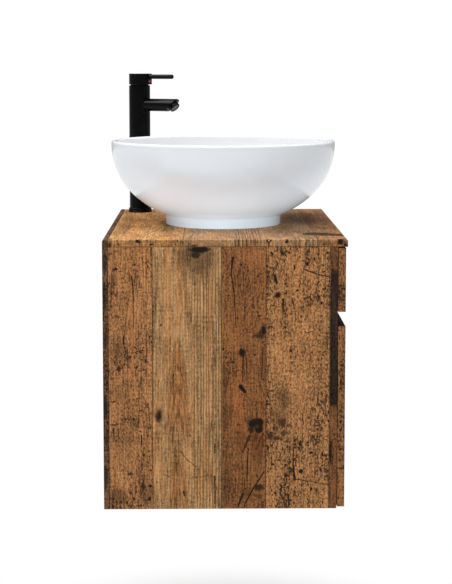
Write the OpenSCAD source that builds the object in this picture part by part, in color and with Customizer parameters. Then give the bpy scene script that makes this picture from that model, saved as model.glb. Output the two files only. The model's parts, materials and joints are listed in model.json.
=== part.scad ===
// Vanity cabinet with two drawers, a round vessel basin on its worktop and a tall mixer tap.
// Origin: centre of the footprint, on the underside of the cabinet. +Z is up, +Y is the wall side.

/* [Cabinet] */
// Width of the worktop, side to side
top_w = 500; // [480:5:600]
// Depth of the worktop, wall to front
top_d = 400; // [400:2:420]
// Height from the underside to the top of the worktop
cab_h = 448; // [446:1:470]
// Thickness of every laminated board
board = 12; // [12:0.5:13]
// How far the worktop stands past the drawer fronts
front_overhang = 3; // [1:0.5:5]

/* [Drawers] */
// Height of the upper drawer front
upper_front_h = 105; // [100:1:108]
// Open finger gap between the two drawer fronts
grip_gap = 24; // [20:1:28]
// Gap between the worktop and the upper front
top_gap = 2; // [1.5:0.5:3]
// How far each drawer slides out
drawer_travel = 240; // [150:5:240]
// Length of the drawer boxes behind the fronts
box_l = 300; // [290:1:300]

/* [Basin] */
// Outer diameter of the basin at its rim
basin_d = 400; // [380:1:400]
// Height of the basin above the worktop
basin_h = 150; // [140:1:160]
// Outer diameter of the basin's foot
foot_d = 208; // [200:1:215]

/* [Tap] */
// Distance of the tap's axis from the wall edge of the worktop
tap_from_back = 41; // [41:1:45]
// Distance of the tap's axis from the right edge of the worktop
tap_from_side = 48; // [41:1:60]
// Height of the tap above the worktop
tap_h = 268; // [260:1:300]
// Diameter of the tap's column
tap_d = 40.6; // [40:0.2:42]
// Turn of the spout from straight ahead, towards the basin
tap_turn = 34; // [20:1:45]
// Distance from the column's axis to the middle of the spout's slanted mouth
spout_reach = 79; // [70:1:90]
// Diameter of the spout
spout_d = 24; // [23:0.5:26]
// Distance from the column's axis to the tip of the lever
lever_reach = 78.5; // [70:0.5:90]

/* [Hidden] */
$fn = 96;
eps = 0.01;

// colours
wood = "#a4703f";
inner_board = "#8a6747";
hardboard = "#6f563d";
zinc = "#b9bcc0";
ceramic = "#f4f5f7";
matt_black = "#17181a";
trap_white = "#e9eaec";

// carcass, worked out from the driving sizes
back_y = top_d / 2;
front_gap = 1;
front_y = -back_y + front_overhang;       // outer face of the drawer fronts
front_in_y = front_y + board;             // inner face of the drawer fronts
carcass_y = front_in_y + front_gap;       // front edge of the side panels
side_x = top_w / 2;                       // outer face of a side panel
inner_x = side_x - board;                 // inner face of a side panel
carcass_h = cab_h - board;
top_edge_r = 3;                           // rounding of the worktop's upper edges

// rails
rail_upper_h = 88;
rail_lower_h = 100;
rail_holes_x = 150;                       // wall screws, either side of the middle
rail_hole_r = 3.25;
wall_hole_upper_z = carcass_h - 36;
wall_hole_lower_z = board + 48;
middle_rail_z = 312;
middle_rail_y = carcass_y + 24;
middle_rail_d = 50;

// drawer fronts
upper_front_z = carcass_h - top_gap - upper_front_h;
lower_front_z = 3;
lower_front_h = upper_front_z - grip_gap - lower_front_z;

// drawer boxes and their runners
runner_gap = 12.5;
box_x = inner_x - runner_gap;             // outer face of a drawer side
box_back_y = front_in_y + box_l;
upper_box_z = upper_front_z + 4;
upper_box_h = 80;
lower_box_z = 20;
lower_box_h = 196;
plate_t = 3;                              // hardboard bottom
plate_lift = 8;                           // underside of the bottom above the box's lower edge
plate_groove = 5;
cutout_x = 58;                            // half width of the plumbing cut-out
cutout_y = -48;                           // its front end
steel_t = 1.2;
roller_r = 8.5;
roller_w = 3.8;
axle_r = 2;
running = 0.05;                           // radial clearance of a roller on its axle
channel_h = 20;
upper_roller_z = upper_box_z + 16;
lower_roller_z = lower_box_z + 18;
cabinet_roller_y = carcass_y + 14;
drawer_roller_y = box_back_y - 10;
runner_l = box_l - 6;
runner_front_y = carcass_y + 2;
stop_y = drawer_roller_y - drawer_travel - roller_r - 0.3;  // rear face of the stop that ends the travel
runner_screw_y = [stop_y + 9, -15, 85];

// furniture fittings
cam_r = 7.5;
cam_depth = 9.5;
cam_set = 24;                             // distance of a cam from the joint it pulls together
bolt_r = 3;
bolt_bite = 9;

// basin and waste
rim_r = 4;
wall_power = 2.3;                         // shape of the bowl's side, 2 is an ellipse
outer_drop = 1.0187 * basin_h;            // depth at which the outer curve would close
floor_z = 16;                             // inside floor above the worktop
hollow_z = 6;                             // roof of the hollow inside the foot
drain_r = 22.5;
seat_r = 32;                              // recess that takes the waste's flange
tube_r = 20.9;                            // G 1 1/4 thread
waste_low_z = cab_h - 70;
flange_z = cab_h + floor_z + 1;

// bottle trap
pipe_r = 16;
pipe_t = 1.5;
trap_z = 312;                             // height of the outlet pipe's axis
trap_r = 35;
trap_low_z = trap_z - 34;                 // lower end of the trap's body
spigot_l = 28;                            // turned-down end of the outlet pipe

// tap
tap_pos = [top_w / 2 - tap_from_side, back_y - tap_from_back, cab_h];
tap_r = tap_d / 2;
base_h = 8;
neck_z = tap_h - 22.4;                    // top of the column
pivot_z = tap_h - 36;                     // tilt axis of the lever
cap_z = tap_h - 21;                       // underside of the handle cap
cap_r = 22;
cap_shift = 2.3;
cap_wall = 1.5;
cap_top_t = 11.2;
lever_z = tap_h - 6;
lever_r = 4.3;
mark_z = tap_h - 14.8;
spout_z = tap_h - 60;
spout_r = spout_d / 2;
cartridge_z = tap_h - 49.5;
cartridge_r = 17.4;
turret_r = 12;
shank_r = 15.5;
inlet_r = 4.5;
inlet_x = 6.2;

// ---------- helpers ----------

// A box from its lowest corner to its highest corner.
module block(low, high) {
    translate(low) cube(high - low);
}

// Its children are drawn on the +X side, and mirrored to the other side when s is negative.
module on_side(s) {
    mirror([s < 0 ? 1 : 0, 0, 0]) children();
}

// A ring standing on z = 0.
module ring(outer, inner, h) {
    difference() {
        cylinder(r = outer, h = h);
        translate([0, 0, -1]) cylinder(r = inner, h = h + 2);
    }
}

// A ring nut: a ring with square grip ribs round it.
module ribbed_ring(outer, inner, h, ribs, rib = 2) {
    difference() {
        union() {
            cylinder(r = outer, h = h);
            for (i = [0 : ribs - 1])
                rotate([0, 0, i * 360 / ribs])
                    translate([outer - 1, -rib / 2, 0]) cube([1 + rib / 2, rib, h]);
        }
        translate([0, 0, -1]) cylinder(r = inner, h = h + 2);
    }
}

// Points of a quarter arc, from angle a0 to a1.
function arc(c, r, a0, a1, n) =
    [for (i = [0 : n]) c + r * [cos(a0 + (a1 - a0) * i / n), sin(a0 + (a1 - a0) * i / n)]];

// ---------- furniture fittings ----------

// Every cam: [centre on the board's face, direction into the board, direction of its bolt,
// depth of the bolt]
function cams() = [
    for (s = [-1, 1]) each [
        for (y = [-130, 10, 150]) [[s * (inner_x - cam_set), y, 0], [0, 0, 1], [s, 0, 0], board / 2],
        for (z = [carcass_h - 22, carcass_h - 66])
            [[s * (inner_x - cam_set), back_y - board, z], [0, 1, 0], [s, 0, 0], board / 2],
        for (z = [board + 22, board + 78])
            [[s * (inner_x - cam_set), back_y - board, z], [0, 1, 0], [s, 0, 0], board / 2],
        [[s * (inner_x - cam_set), middle_rail_y + middle_rail_d / 2, middle_rail_z],
            [0, 0, 1], [s, 0, 0], board / 2],
        for (y = [-140, 100]) [[s * inner_x, y, carcass_h - cam_set], [s, 0, 0], [0, 0, 1], board / 2]
    ]
];

// Turns +Z onto an axis direction.
module point_z(d) {
    rotate(d.x != 0 ? [0, 90 * d.x, 0] : d.y != 0 ? [-90 * d.y, 0, 0] : [d.z < 0 ? 180 : 0, 0, 0])
        children();
}

// The pockets and holes that the fittings need.
module fitting_holes() {
    for (c = cams()) {
        translate(c[0] - eps * c[1]) point_z(c[1]) cylinder(r = cam_r + 0.1, h = cam_depth + 0.1);
        translate(c[0] + c[3] * c[1]) point_z(c[2])
            cylinder(r = bolt_r + 0.1, h = cam_set + bolt_bite + 0.2);
    }
    for (s = [-1, 1], z = [upper_roller_z, lower_roller_z], y = runner_screw_y)
        translate([s * (inner_x - 1), y, z]) point_z([s, 0, 0]) cylinder(r = 1.8, h = 11.2);
}

module cam_locks() {
    color(zinc)
        for (c = cams())
            translate(c[0]) point_z(c[1])
                difference() {
                    cylinder(r = cam_r, h = cam_depth);
                    for (a = [0, 90])
                        rotate([0, 0, a]) translate([-4.5, -0.7, -1]) cube([9, 1.4, 3]);
                }
}

module cam_bolts() {
    color(zinc)
        for (c = cams())
            translate(c[0] + c[3] * c[1] + (cam_r + 0.2) * c[2]) point_z(c[2])
                cylinder(r = bolt_r, h = cam_set + bolt_bite - cam_r - 0.2);
}

// ---------- carcass ----------

// Outline of a board seen end on, with both upper corners rounded.
module top_section(w) {
    r = top_edge_r;
    polygon(concat(
        [[-w / 2, 0], [w / 2, 0]],
        arc([w / 2 - r, board - r], r, 0, 90, 5),
        arc([-w / 2 + r, board - r], r, 90, 180, 5)
    ));
}

module countertop() {
    color(wood)
        difference() {
            translate([0, 0, carcass_h])
                intersection() {
                    rotate([90, 0, 0])
                        translate([0, 0, -top_d]) linear_extrude(2 * top_d) top_section(top_w);
                    rotate([90, 0, 90])
                        translate([0, 0, -top_w]) linear_extrude(2 * top_w) top_section(top_d);
                }
            translate([0, 0, carcass_h - 1]) cylinder(r = drain_r + 0.5, h = board + 2);
            translate([tap_pos.x, tap_pos.y, carcass_h - 1]) cylinder(r = shank_r + 1.5, h = board + 2);
            fitting_holes();
        }
}

module side_panel(s) {
    color(wood)
        difference() {
            on_side(s) block([inner_x, carcass_y, 0], [side_x, back_y, carcass_h]);
            fitting_holes();
        }
}

module bottom_panel() {
    color(wood)
        difference() {
            block([-inner_x, carcass_y, 0], [inner_x, back_y, board]);
            fitting_holes();
        }
}

module back_rail(z, h, hole_z) {
    color(wood)
        difference() {
            block([-inner_x, back_y - board, z], [inner_x, back_y, z + h]);
            for (s = [-1, 1])
                translate([s * rail_holes_x, back_y + 1, hole_z]) rotate([90, 0, 0])
                    cylinder(r = rail_hole_r, h = board + 2);
            fitting_holes();
        }
}

module middle_rail() {
    color(wood)
        difference() {
            block([-inner_x, middle_rail_y, middle_rail_z],
                  [inner_x, middle_rail_y + middle_rail_d, middle_rail_z + board]);
            fitting_holes();
        }
}

// ---------- runners ----------

// The steel channel screwed to a side panel, with the axle of its front roller and the stop behind it.
module cabinet_runner(s, z) {
    lip_x = inner_x - 6.2;
    web_x = inner_x - steel_t;
    channel_y = cabinet_roller_y + roller_r + 3;
    color("white")
        on_side(s) {
            difference() {
                block([web_x, runner_front_y, z - channel_h / 2],
                      [inner_x, runner_front_y + runner_l, z + channel_h / 2]);
                for (y = runner_screw_y)
                    translate([web_x - 1, y, z]) rotate([0, 90, 0]) cylinder(r = 2.1, h = steel_t + 2);
            }
            for (low = [z - channel_h / 2, z + channel_h / 2 - steel_t])
                block([lip_x, channel_y, low], [web_x + eps, runner_front_y + runner_l, low + steel_t]);
            block([web_x - 2.6, stop_y - 3, z - 4], [web_x + eps, stop_y, z + 4]);
            translate([web_x - 9.2, cabinet_roller_y, z]) rotate([0, 90, 0]) {
                cylinder(r = axle_r, h = 9.2 + eps);
                translate([0, 0, 4.3]) cylinder(r = axle_r + 1.8, h = 4.9 + eps);
            }
        }
}

// The two front rollers of one drawer's channels.
module cabinet_rollers(z) {
    color("ivory")
        for (s = [-1, 1])
            on_side(s) translate([inner_x - steel_t - 9, cabinet_roller_y, z]) roller();
}

// A nylon roller along +X from the origin, with a grooved face.
module roller() {
    rotate([0, 90, 0])
        difference() {
            cylinder(r = roller_r, h = roller_w);
            translate([0, 0, -1]) cylinder(r = axle_r + running, h = roller_w + 2);
            translate([0, 0, roller_w - 0.6]) ring(roller_r - 2, axle_r + 1.5, 1);
        }
}

// The steel angle screwed to a drawer side, with the axle of its rear roller.
module drawer_runner(s, z) {
    web_x = box_x + steel_t;
    color("white")
        on_side(s) {
            block([box_x, front_in_y + 1, z - channel_h / 2], [web_x, box_back_y, z + 10]);
            block([web_x - eps, front_in_y + 1, z + roller_r + 0.3], [web_x + 4.8, box_back_y, z + 10]);
            translate([web_x - eps, drawer_roller_y, z]) rotate([0, 90, 0]) {
                cylinder(r = axle_r, h = 8.8);
                cylinder(r = axle_r + 1.8, h = 4.9);
            }
        }
}

// The two rear rollers of one drawer.
module drawer_rollers(z) {
    color("ivory")
        for (s = [-1, 1])
            on_side(s) translate([box_x + steel_t + 5, drawer_roller_y, z]) roller();
}

module cabinet_runner_screws() {
    color(zinc)
        for (s = [-1, 1], z = [upper_roller_z, lower_roller_z], y = runner_screw_y)
            on_side(s) translate([inner_x - steel_t, y, z]) rotate([0, 90, 0]) {
                cylinder(r = 1.7, h = 11);
                translate([0, 0, -1])
                    difference() {
                        cylinder(r = 3.4, h = 1);
                        for (a = [0, 90])
                            rotate([0, 0, a]) translate([-2, -0.4, -1]) cube([4, 0.8, 1.6]);
                    }
            }
}

// ---------- drawers ----------

// Hardboard bottom of a drawer, let into grooves. The upper one has the plumbing cut-out.
module bottom_plate(box_z, cut, clear = 0) {
    x = box_x - board + plate_groove + clear;
    y0 = front_in_y - plate_groove + 1 - clear;
    y1 = box_back_y - board + plate_groove + clear;
    slot_x = cutout_x + board - plate_groove - clear;
    slot_y = cutout_y - board + plate_groove + clear;
    translate([0, 0, box_z + plate_lift - clear])
        linear_extrude(plate_t + 2 * clear)
            difference() {
                translate([-x, y0]) square([2 * x, y1 - y0]);
                if (cut)
                    translate([-slot_x, slot_y]) square([2 * slot_x, y1 - slot_y + 10]);
            }
}

module drawer_front(z, h, box_z, cut) {
    color(wood)
        difference() {
            block([-side_x, front_y, z], [side_x, front_in_y, z + h]);
            bottom_plate(box_z, cut, 0.15);
        }
}

module drawer_side(s, box_z, box_h, cut) {
    color(inner_board)
        difference() {
            on_side(s) block([box_x - board, front_in_y, box_z], [box_x, box_back_y, box_z + box_h]);
            bottom_plate(box_z, cut, 0.15);
        }
}

module drawer_bottom(box_z, cut) {
    color(hardboard) bottom_plate(box_z, cut);
}

// The upper drawer's back is in two pieces, one on each side of the cut-out.
module upper_drawer_back() {
    color(inner_board)
        difference() {
            for (s = [-1, 1])
                on_side(s) block([cutout_x + board, box_back_y - board, upper_box_z],
                                 [box_x - board, box_back_y, upper_box_z + upper_box_h]);
            bottom_plate(upper_box_z, true, 0.15);
        }
}

// The three walls round the cut-out, so that the drawer clears the waste and trap.
module upper_drawer_cutout() {
    color(inner_board)
        difference() {
            block([-cutout_x - board, cutout_y - board, upper_box_z],
                  [cutout_x + board, box_back_y, upper_box_z + upper_box_h]);
            block([-cutout_x, cutout_y, upper_box_z - 1],
                  [cutout_x, box_back_y + 1, upper_box_z + upper_box_h + 1]);
            bottom_plate(upper_box_z, true, 0.15);
        }
}

module lower_drawer_back() {
    color(inner_board)
        difference() {
            block([-box_x + board, box_back_y - board, lower_box_z],
                  [box_x - board, box_back_y, lower_box_z + lower_box_h]);
            bottom_plate(lower_box_z, false, 0.15);
        }
}

// ---------- basin and waste ----------

// A point on the bowl's side: r is the rim radius, drop the depth at which the curve closes.
function bowl_wall(r, drop, a) = [r * cos(a), basin_h - drop * pow(sin(a), 2 / wall_power)];

module basin() {
    outer_r = basin_d / 2;
    inner_r = outer_r - 2 * rim_r;
    foot_r = foot_d / 2;
    rim_a = 0.9;
    foot_a = acos(foot_r / outer_r);
    seat_a = acos(seat_r / inner_r);
    steps = 30;
    outer = [for (i = [0 : steps]) bowl_wall(outer_r, outer_drop, foot_a + (rim_a - foot_a) * i / steps)];
    inner = [for (i = [0 : steps + 6])
        bowl_wall(inner_r, basin_h - floor_z, rim_a + (seat_a - rim_a) * i / (steps + 6))];
    rim = arc([outer_r - rim_r, outer[steps].y], rim_r - 0.01, 15, 165, 10);
    color(ceramic)
        translate([0, 0, cab_h])
            rotate_extrude($fn = 180)
                polygon(concat(
                    [[foot_r - 10, 0], [foot_r - 3, 0], [foot_r - 1.2, 1.8]],
                    outer, rim, inner,
                    [[seat_r, floor_z], [drain_r, floor_z], [drain_r, hollow_z], [foot_r - 12, hollow_z]]
                ));
}

// Flange and threaded tube, with a spider that guides the plug's stem.
module waste_body() {
    tube_in = tube_r - 2.9;
    color(matt_black)
        difference() {
            union() {
                translate([0, 0, waste_low_z]) ring(tube_r, tube_in, flange_z - waste_low_z + 1);
                translate([0, 0, flange_z])
                    difference() {
                        cylinder(r1 = seat_r - 0.5, r2 = seat_r - 2, h = 3);
                        translate([0, 0, -1]) cylinder(r = tube_in, h = 5);
                    }
                translate([0, 0, flange_z - 28]) cylinder(r = 8, h = 12);
                for (a = [0, 120, 240])
                    rotate([0, 0, a]) translate([5, -1.25, flange_z - 28]) cube([tube_in - 4, 2.5, 12]);
            }
            translate([0, 0, flange_z - 30]) cylinder(r = 4.1, h = 16);
        }
}

module waste_gasket() {
    color("#2a2a2a") {
        translate([0, 0, flange_z - 1]) ring(seat_r - 1.5, drain_r, 1);
        translate([0, 0, carcass_h - 4]) ring(33, tube_r + 0.2, 4);
    }
}

module waste_nut() {
    color("#c9a24d")
        translate([0, 0, carcass_h - 16])
            difference() {
                cylinder(r = 33, h = 12, $fn = 8);
                translate([0, 0, -1]) cylinder(r = tube_r + 0.1, h = 14);
            }
}

// The push plug: a domed cap on a stem.
module waste_plug() {
    cap = 29;
    color(matt_black)
        translate([0, 0, flange_z + 3.2])
            rotate_extrude()
                polygon(concat(
                    [[0, -40], [4, -40], [4, 0], [cap - 1, 0], [cap, 1]],
                    [for (a = [0 : 5 : 90]) [cap * cos(a) , 2 + 3 * sin(a)]]
                ));
}

module trap_inlet_nut() {
    color(trap_white)
        translate([0, 0, waste_low_z - 6])
            difference() {
                ribbed_ring(25, pipe_r + 0.3, 20, 16);
                translate([0, 0, 4]) cylinder(r = tube_r + 0.1, h = 20);
            }
}

module trap_inlet_tube() {
    color(trap_white)
        difference() {
            union() {
                translate([0, 0, trap_z - 50]) cylinder(r = pipe_r, h = waste_low_z - trap_z + 50);
                translate([0, 0, waste_low_z - 2]) cylinder(r = tube_r - 0.4, h = 2);
            }
            translate([0, 0, trap_z - 51]) cylinder(r = pipe_r - pipe_t, h = 200);
        }
}

module trap_body() {
    neck = pipe_r + 6;
    color(trap_white)
        difference() {
            union() {
                translate([0, 0, trap_z])
                    rotate_extrude()
                        polygon([
                            [0, -34], [trap_r - 4, -34], [trap_r - 4, -22], [trap_r, -21],
                            [trap_r, 22], [trap_r - 4, 28], [neck + 2, 34], [neck, 36], [neck, 46], [0, 46]
                        ]);
                translate([0, 0, trap_z]) rotate([-90, 0, 0]) cylinder(r = 20.5, h = 58);
            }
            translate([0, 0, trap_low_z - 2]) cylinder(r = trap_r - 7, h = 60);
            translate([0, 0, trap_z]) cylinder(r = pipe_r + 0.2, h = 60);
            translate([0, 0, trap_z]) rotate([-90, 0, 0]) cylinder(r = pipe_r + 0.3, h = 60);
        }
}

module trap_cup() {
    color(trap_white)
        translate([0, 0, trap_low_z - 44])
            difference() {
                union() {
                    rotate_extrude()
                        polygon([
                            [0, 0], [22, 0], [29, 3], [32, 10], [trap_r - 1, 30], [trap_r - 1, 56], [0, 56]
                        ]);
                    for (i = [0 : 11])
                        rotate([0, 0, i * 30]) translate([trap_r - 2, -2, 34]) cube([3, 4, 22]);
                }
                translate([0, 0, 44]) cylinder(r = trap_r - 3.9, h = 20);
                translate([0, 0, 6]) cylinder(r1 = 24, r2 = 28, h = 40);
            }
}

module trap_outlet_nut() {
    color(trap_white)
        translate([0, 46, trap_z]) rotate([-90, 0, 0])
            difference() {
                ribbed_ring(24.5, pipe_r + 0.3, 22, 16);
                translate([0, 0, -1]) cylinder(r = 20.6, h = 14);
            }
}

// Its inner end is turned down a little, to slip into the trap.
module trap_outlet_pipe() {
    bore = pipe_r - pipe_t;
    color(trap_white)
        translate([0, 42, trap_z]) rotate([-90, 0, 0]) {
            ring(pipe_r - 0.2, bore, spigot_l + eps);
            translate([0, 0, spigot_l]) ring(pipe_r, bore, back_y - 42 - spigot_l);
        }
}

// ---------- tap ----------

// Puts its children on the tap's foot, with +X along the spout.
module at_tap() {
    translate(tap_pos) rotate([0, 0, -90 - tap_turn]) children();
}

module tap_base_ring() {
    color(matt_black)
        at_tap()
            rotate_extrude()
                polygon([
                    [tap_r + 0.1, 0], [23, 0], [23, 2.6], [22.5, 3.2], [21.6, 7.2],
                    [21.1, base_h], [tap_r + 0.1, base_h]
                ]);
}

module tap_column() {
    color(matt_black)
        at_tap()
            difference() {
                rotate_extrude()
                    polygon([
                        [0, 0.5], [tap_r, 0.5], [tap_r, neck_z - 4.2], [tap_r - 0.35, neck_z - 4],
                        [tap_r - 0.35, neck_z - 3.6], [tap_r, neck_z - 3.4], [tap_r, neck_z - 1.5],
                        [tap_r - 1.3, neck_z], [0, neck_z]
                    ]);
                translate([0, 0, cartridge_z - 0.5]) cylinder(r = cartridge_r + 0.2, h = 60);
                translate([0, 0, 22]) cylinder(r = 15, h = cartridge_z);
                translate([0, 0, spout_z]) rotate([0, 90, 0]) cylinder(r = spout_r - 3, h = 40);
                for (s = [-1, 1]) translate([0, s * inlet_x, 0]) {
                    cylinder(r = inlet_r, h = 12.5);
                    cylinder(r = 3, h = 30);
                }
            }
}

module tap_spout() {
    tip = spout_reach + spout_r - 3;
    color(matt_black)
        at_tap()
            difference() {
                translate([0, 0, spout_z]) rotate([0, 90, 0]) cylinder(r = spout_r, h = tip);
                translate([0, 0, spout_z - 30]) cylinder(r = tap_r + eps, h = 60);
                translate([0, 0, spout_z]) rotate([0, 90, 0])
                    cylinder(r = spout_r - 3, h = spout_reach - 14);
                translate([spout_reach, 0, spout_z]) rotate([0, 135, 0]) {
                    translate([-40, -40, 0]) cube([80, 80, 60]);
                    translate([0, 0, -6]) cylinder(r = 9.6, h = 20);
                }
            }
}

// Places its children on the spout's slanted mouth, with +Z pointing out of it.
module at_mouth() {
    at_tap() translate([spout_reach, 0, spout_z]) rotate([0, 135, 0]) children();
}

module aerator_collar() {
    color(matt_black)
        at_mouth()
            difference() {
                union() {
                    translate([0, 0, -5.5]) cylinder(r = 9.5, h = 6);
                    cylinder(r = 10.2, h = 7.2);
                    translate([0, 0, 7.2]) cylinder(r1 = 10.2, r2 = 9.6, h = 0.6);
                }
                translate([0, 0, -8]) cylinder(r = 8.4, h = 20);
            }
}

module aerator_insert() {
    color("#6c6e70")
        at_mouth()
            difference() {
                translate([0, 0, -5]) cylinder(r = 8.3, h = 12);
                for (ring_i = [1 : 2], i = [0 : 6 * ring_i - 1])
                    rotate([0, 0, i * 60 / ring_i])
                        translate([3 * ring_i, 0, -6]) cylinder(r = 0.9, h = 20);
                translate([0, 0, -6]) cylinder(r = 0.9, h = 20);
            }
}

module tap_cartridge() {
    color("#d9d9d4")
        at_tap() translate([0, 0, cartridge_z])
            difference() {
                cylinder(r = cartridge_r, h = 19.5);
                translate([0, 0, 5.4]) cylinder(r = turret_r + running, h = 20);
                for (s = [-1, 1]) translate([0, s * 7, -1]) cylinder(r = 3.5, h = 3.5);
                translate([8, 0, -1]) cylinder(r = 3, h = 3.5);
            }
}

// Holds the cartridge down. Its black collar closes the gap under the handle cap, and a key turns it by
// the slots on the inside.
module cartridge_nut() {
    color(matt_black)
        at_tap() translate([0, 0, cartridge_z + 19.6])
            difference() {
                cylinder(r = cartridge_r - 0.1, h = 9.2);
                translate([0, 0, -1]) cylinder(r = turret_r + 0.8, h = 12);
                translate([0, 0, 4.6]) cylinder(r = turret_r + 2.8, h = 8);
                for (a = [0 : 60 : 300])
                    rotate([0, 0, a]) translate([turret_r, -2, 2.6]) cube([4.4, 4, 8]);
            }
}

// Turns in the cartridge and carries the tilting stem.
module cartridge_turret() {
    color("#d2483f")
        at_tap()
            difference() {
                translate([0, 0, cartridge_z + 5.5]) cylinder(r = turret_r, h = 19.6);
                translate([0, 4.7, pivot_z]) rotate([90, 0, 0]) cylinder(r = 5 + running, h = 9.4);
                translate([-7.8, -4.7, pivot_z]) cube([12.4, 9.4, 20]);
            }
}

module cartridge_stem() {
    color(zinc)
        at_tap() {
            translate([0, 4.5, pivot_z]) rotate([90, 0, 0]) cylinder(r = 5, h = 9);
            translate([0, 0, pivot_z + 2]) cylinder(r = 3.9, h = lever_z - 8.3 - pivot_z - 2);
        }
}

module handle_cap() {
    boss_top = tap_h - cap_top_t;
    color(matt_black)
        at_tap()
            difference() {
                union() {
                    difference() {
                        translate([cap_shift, 0, cap_z])
                            rotate_extrude()
                                polygon([
                                    [0, 0], [cap_r - 0.6, 0], [cap_r, 0.6],
                                    [cap_r, tap_h - cap_z - 0.8], [cap_r - 0.8, tap_h - cap_z],
                                    [0, tap_h - cap_z]
                                ]);
                        translate([cap_shift, 0, cap_z - 1])
                            cylinder(r = cap_r - cap_wall, h = boss_top - cap_z + 1);
                    }
                    translate([0, 0, cap_z + 2.4]) cylinder(r = 8, h = boss_top - cap_z - 2);
                }
                cylinder(r = 4, h = lever_z - 8);
                translate([12, 0, lever_z]) rotate([0, 90, 0]) cylinder(r = lever_r + 0.05, h = 30);
                translate([3, 0, mark_z]) rotate([0, 90, 0]) cylinder(r = 2.05, h = 8);
                translate([15, 0, mark_z]) rotate([0, 90, 0]) cylinder(r = 2.9, h = 20);
            }
}

module handle_lever() {
    end_r = 1.2;
    color(matt_black)
        at_tap() translate([0, 0, lever_z]) rotate([0, 90, 0])
            rotate_extrude()
                polygon(concat(
                    [[0, 12.2], [lever_r, 12.2]],
                    arc([lever_r - end_r, lever_reach - end_r], end_r, 0, 90, 5),
                    [[0, lever_reach]]
                ));
}

module handle_grub_screw() {
    color(zinc)
        at_tap() translate([4.4, 0, mark_z]) rotate([0, 90, 0])
            difference() {
                cylinder(r = 2, h = 5);
                translate([0, 0, 2.5]) cylinder(r = 1.15, h = 4, $fn = 6);
            }
}

// Red and blue mark that plugs the hole in front of the grub screw.
module temperature_mark() {
    color("#c8202c")
        at_tap() translate([cap_shift + cap_r - 3.4, 0, mark_z]) rotate([0, 90, 0])
            cylinder(r = 2.8, h = 3.6);
}

module tap_shank() {
    color("#c9a24d")
        at_tap() translate([0, 0, -52]) ring(shank_r, 12.5, 52.5);
}

module tap_washer() {
    color("#2a2a2a")
        at_tap() translate([0, 0, -board - 5]) ring(22, shank_r + 0.3, 5);
}

module tap_lock_nut() {
    color("#c9a24d")
        at_tap() translate([0, 0, -board - 15])
            difference() {
                cylinder(r = 22.4, h = 9.9, $fn = 6);
                translate([0, 0, -1]) cylinder(r = shank_r + 0.1, h = 12);
            }
}

// ---------- assembly ----------

countertop();
side_panel(-1);  // side_panel_left
side_panel(1);  // side_panel_right
bottom_panel();
back_rail(carcass_h - rail_upper_h, rail_upper_h, wall_hole_upper_z);  // back_rail_upper
back_rail(board, rail_lower_h, wall_hole_lower_z);  // back_rail_lower
middle_rail();
cam_locks();
cam_bolts();
cabinet_runner(-1, upper_roller_z);  // cabinet_runner_upper_left
cabinet_runner(1, upper_roller_z);  // cabinet_runner_upper_right
cabinet_runner(-1, lower_roller_z);  // cabinet_runner_lower_left
cabinet_runner(1, lower_roller_z);  // cabinet_runner_lower_right
cabinet_runner_screws();
basin();
waste_body();
waste_gasket();
waste_nut();
waste_plug();
trap_inlet_nut();
trap_inlet_tube();
trap_body();
trap_cup();
trap_outlet_nut();
trap_outlet_pipe();
tap_column();
tap_base_ring();
tap_spout();
aerator_collar();
aerator_insert();
tap_cartridge();
cartridge_nut();
tap_shank();
tap_washer();
tap_lock_nut();
cartridge_turret();
cartridge_stem();
handle_cap();
handle_lever();
handle_grub_screw();
temperature_mark();
drawer_front(upper_front_z, upper_front_h, upper_box_z, true);  // upper_drawer_front
drawer_side(-1, upper_box_z, upper_box_h, true);  // upper_drawer_side_left
drawer_side(1, upper_box_z, upper_box_h, true);  // upper_drawer_side_right
upper_drawer_back();
upper_drawer_cutout();
drawer_bottom(upper_box_z, true);  // upper_drawer_bottom
drawer_runner(-1, upper_roller_z);  // upper_drawer_runner_left
drawer_runner(1, upper_roller_z);  // upper_drawer_runner_right
drawer_rollers(upper_roller_z);  // upper_drawer_rollers
cabinet_rollers(upper_roller_z);  // upper_cabinet_rollers
drawer_front(lower_front_z, lower_front_h, lower_box_z, false);  // lower_drawer_front
drawer_side(-1, lower_box_z, lower_box_h, false);  // lower_drawer_side_left
drawer_side(1, lower_box_z, lower_box_h, false);  // lower_drawer_side_right
lower_drawer_back();
drawer_bottom(lower_box_z, false);  // lower_drawer_bottom
drawer_runner(-1, lower_roller_z);  // lower_drawer_runner_left
drawer_runner(1, lower_roller_z);  // lower_drawer_runner_right
drawer_rollers(lower_roller_z);  // lower_drawer_rollers
cabinet_rollers(lower_roller_z);  // lower_cabinet_rollers
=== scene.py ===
"""Vessel sink on a wooden vanity: materials, basin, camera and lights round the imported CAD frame.
Metres, in the frame of part.scad."""
import json
import math
import random

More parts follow.
